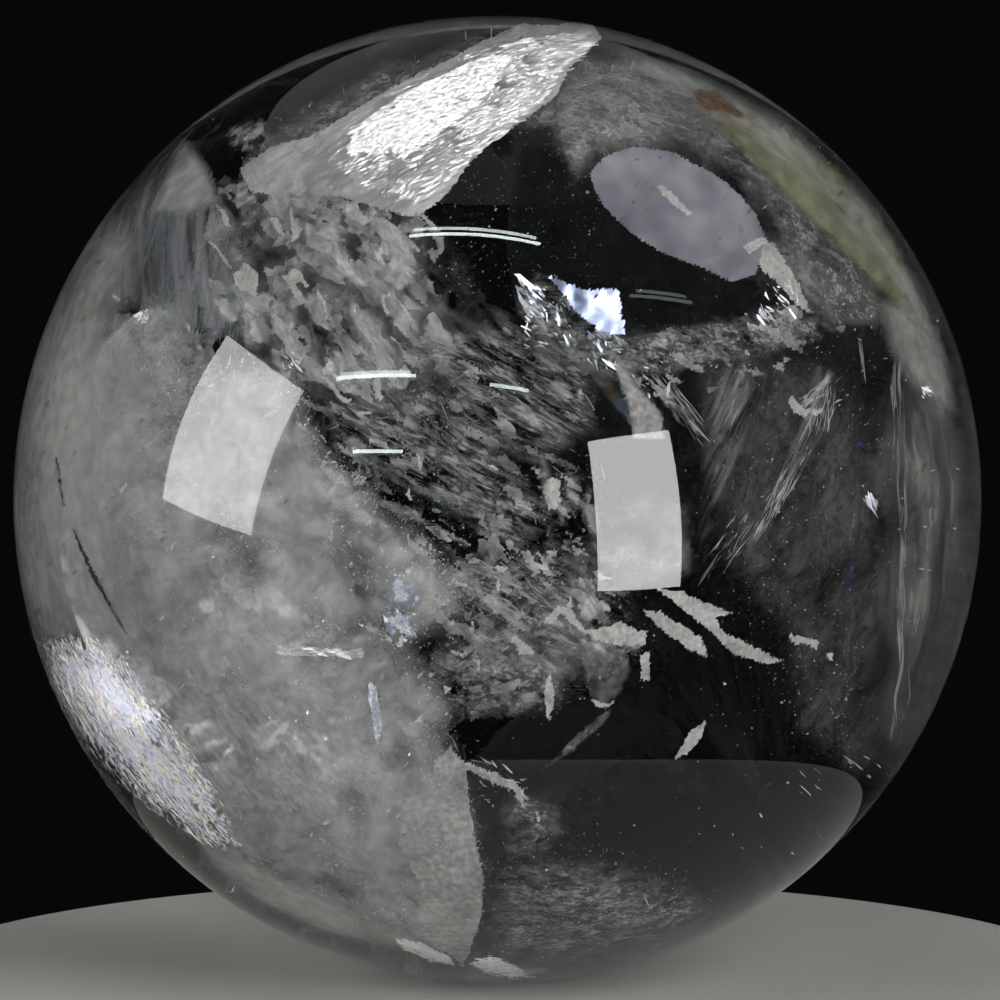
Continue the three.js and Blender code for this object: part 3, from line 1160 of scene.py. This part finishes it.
# Trails of bubbles as thin as hair: grey to white threads
fibreFinish = veilFinish("fibreTrails", dict(
    blotch=1.5, grain=0.3, tones=("77777a", "d8d8da", "ffffff"), through=0.35))
makeFlakes("fibres", [
    dict(outline=[(330, 380), (420, 350), (520, 330), (600, 400), (610, 560), (540, 640), (440, 600),
         (330, 520)], depths=(14, 34), count=220, size=0.022, seed=35, along=-25, sway=25, stretch=(5, 34),
         lace=(0.1, 6)),
    dict(outline=[(450, 560), (560, 560), (660, 640), (560, 720), (450, 700)], depths=(16, 36), count=160,
         size=0.022, seed=36, along=60, sway=60, stretch=(3, 20), lace=(0.1, 4)),
    dict(outline=[(330, 380), (420, 350), (520, 330), (600, 400), (660, 640), (560, 720), (440, 680),
         (330, 520)], depths=(12, 34), count=1500, size=0.04, seed=38, lace=(0.1, 5)),
], fibreFinish)
# Fine parallel trails on one crack: combed, and mostly clear
combFinish = veilFinish("combedCrack", dict(
    blotch=0.8, grain=0.35, tones=("c6c7ca", "ffffff"), streak=(((770, 540), (836, 392), 18), 12),
    cover=(0, 0.42), contrast=0.1, speckle=0.3, through=0.2, fine=0.7))
makeSheets("combed_cracks", [
    dict(outline=[(816, 362), (838, 372), (832, 420), (802, 476), (766, 528), (748, 542), (764, 500),
         (794, 440)], depth=18, cell=3, seed=111, streak=(62, 5), ragged=5, fray=20, warp=(2, 60), fade=10),
    dict(outline=[(700, 380), (742, 350), (770, 372), (760, 430), (730, 500), (700, 560), (698, 470)],
         depth=22, cell=3, seed=112, streak=(62, 5), ragged=5, fray=20, warp=(2, 60), fade=30),
    dict(outline=[(543, 770), (570, 740), (600, 714), (614, 708), (605, 723), (576, 750)], depth=16, cell=2,
         seed=117, ragged=1, fray=20, warp=(1, 60), fade=3),
], combFinish)
# The thinnest haze: faint streaks, nearly all clear
thinFinish = veilFinish("thinVeil", dict(
    blotch=5, grain=0.5, tones=("b8b8ba", "e8e8ea"), streak=(64, 3), cover=(0.02, 0.26), contrast=0.16,
    speckle=0.3, through=0.2, fine=0.7))
makeSheets("thin_veil", [
    dict(outline=[(690, 350), (780, 340), (866, 380), (884, 520), (900, 640), (890, 760), (850, 790),
         (790, 730), (780, 640), (720, 560), (700, 470)], depth=30, cell=6, seed=98, fade=30, ragged=12,
         warp=(4, 70)),
], thinFinish)
# Bubbles raked one way: short slanting strokes
rakeFinish = veilFinish("rakedCrack", dict(
    blotch=0.9, grain=0.3, tones=("b0b1b4", "ffffff"), streak=(-28, 4), cover=(0, 0.5), contrast=0.1,
    speckle=0.3, through=0.2, fine=0.75))
rakeLook = dict(cell=3.5, streak=(-28, 5), ragged=12, fray=30, warp=(3, 60), fade=22)
makeSheets("raked_cracks", [
    dict(outline=[(420, 330), (520, 320), (600, 360), (600, 430), (540, 470), (440, 430)], depth=24,
         seed=113),
    dict(outline=[(320, 390), (420, 380), (500, 440), (560, 520), (520, 560), (420, 500), (330, 450)],
         depth=20, seed=114),
    dict(outline=[(440, 560), (560, 540), (640, 620), (560, 690), (470, 670)], depth=22, seed=115),
], rakeFinish, rakeLook)
# Threads that split the light: grey with violet, green, blue and ochre tints
threadFinish = veilFinish("prismThread", dict(
    blotch=0.8, grain=0.3, through=0.3,
    tones=("8a8a90", "a06c9c", "d0d0d4", "4f9c78", "b8b8c0", "6c7cb0", "c89a6c")))
makeFlakes("prism_threads", [
    dict(outline=[(128, 190), (156, 152), (186, 140), (228, 205), (246, 280), (236, 345), (140, 320),
         (104, 290)], depths=(8, 13), count=800, size=0.02, seed=66, along=88, sway=3, stretch=(14, 60),
         flash=towardsLeft, scatter=0.35, lace=(-0.05, 4)),
], threadFinish)
combLook = dict(size=0.018, sway=4, stretch=(14, 46), flash=towardsFill, scatter=0.3, lace=(-0.05, 3))
makeFlakes("comb_threads", [
    dict(outline=[(812, 392), (836, 388), (832, 424), (812, 452), (800, 440)], depths=(17, 19),
         count=80, seed=63, along=70),
    dict(outline=[(800, 436), (816, 446), (790, 494), (762, 536), (756, 530), (778, 480)],
         depths=(17, 19), count=150, seed=64, along=58),
    dict(outline=[(648, 378), (670, 376), (704, 420), (700, 444), (676, 420)], depths=(18, 22),
         count=110, seed=65, along=-50),
    dict(outline=[(802, 398), (846, 360), (850, 366), (824, 398), (806, 406)], depths=(17, 19),
         count=60, seed=67, along=37),
    dict(outline=[(700, 570), (730, 520), (776, 490), (784, 510), (740, 560), (706, 584)],
         depths=(20, 26), count=40, seed=68, along=52),
], fibreFinish, combLook)
makeFlakes("specks", [
    dict(outline=[(690, 350), (780, 330), (880, 360), (890, 560), (880, 760), (790, 730), (720, 560)],
         depths=(5, 50), count=1500, size=0.026, seed=69, lace=(0.0, 6)),
    dict(outline=[(480, 860), (560, 830), (640, 850), (720, 890), (700, 950), (600, 968), (490, 965)],
         depths=(5, 26), count=900, size=0.035, seed=33, lace=(0.1, 4)),
    dict(outline=[(700, 600), (850, 560), (860, 700), (820, 780), (760, 800), (700, 700)], depths=(5, 60),
         count=320, size=0.032, seed=34, lace=(0.0, 6)),
    dict(outline=[(430, 250), (445, 170), (560, 110), (600, 200), (600, 300), (450, 300)], depths=(8, 60),
         count=420, size=0.035, seed=39),
    dict(outline=[(470, 760), (500, 760), (560, 800), (540, 830), (480, 800)], depths=(14, 22), count=34,
         size=0.06, seed=40, along=-40, sway=18, stretch=(2, 9), lace=(0.1, 3)),
    dict(outline=[(20, 500), (150, 170), (500, 20), (850, 170), (975, 500), (850, 850), (500, 978),
         (150, 850)], depths=(4, 70), count=1700, size=0.028, seed=48),
], flakeFinish)


# Sparks and small facets: x, y, half width, depth, how many, size

sparkPlaces = [(766, 316, 6, 12, 16, 0.12), (928, 392, 5, 5, 22, 0.08), (872, 502, 5, 7, 22, 0.08),
               (290, 360, 8, 10, 12, 0.08), (782, 300, 16, 12, 26, 0.07)]
facetPlaces = [(532, 296, 14, 18, 30, 0.1), (548, 326, 24, 19, 60, 0.07), (606, 348, 20, 20, 34, 0.07),
               (650, 380, 20, 22, 14, 0.06)]


def strewnAt(places, seed, towards):
    # flakes in small squares
    squares = []
    for k, (x, y, half, depth, count, size) in enumerate(places):
        corners = [(x - half, y - half), (x + half, y - half), (x + half, y + half), (x - half, y + half)]
        squares.append(dict(outline=corners, depths=(depth, depth + 2), count=count, size=size, seed=seed + k,
                            along=-45, sway=22, stretch=(2, 7), flash=towards, scatter=0.3))
    return squares


# The sparks stand in for small points of lamp light focused in the stone: flakes that mirror the right lamp,
# with the painted warm and rainbow tints of the glint finish
makeFlakes("sparks", strewnAt(sparkPlaces, 200, towardsRight), lampGlintFinish)
makeFlakes("facets", strewnAt(facetPlaces, 220, towardsRight), blueFinish)
blueLook = dict(depths=(2.4, 3), size=0.06, flash=towardsLeft)
makeFlakes("blue_folds", [
    dict(outline=[(380, 546), (400, 558), (420, 590), (414, 612), (396, 600)], count=900, soft=14, seed=59,
         along=-50, sway=30, stretch=(1, 2.4), scatter=0.14, lace=(0, 3)),
    dict(outline=[(384, 618), (402, 612), (416, 634), (400, 648), (386, 640)], count=700, soft=14, seed=60,
         along=-50, sway=30, stretch=(1, 2.4), scatter=0.14, lace=(0, 3)),
    dict(outline=[(368, 684), (376, 686), (382, 724), (378, 744), (372, 716)], count=300, seed=61,
         along=-78, sway=10, stretch=(1.5, 4), scatter=0.12),
], blueFinish, blueLook)
print("flakes made")
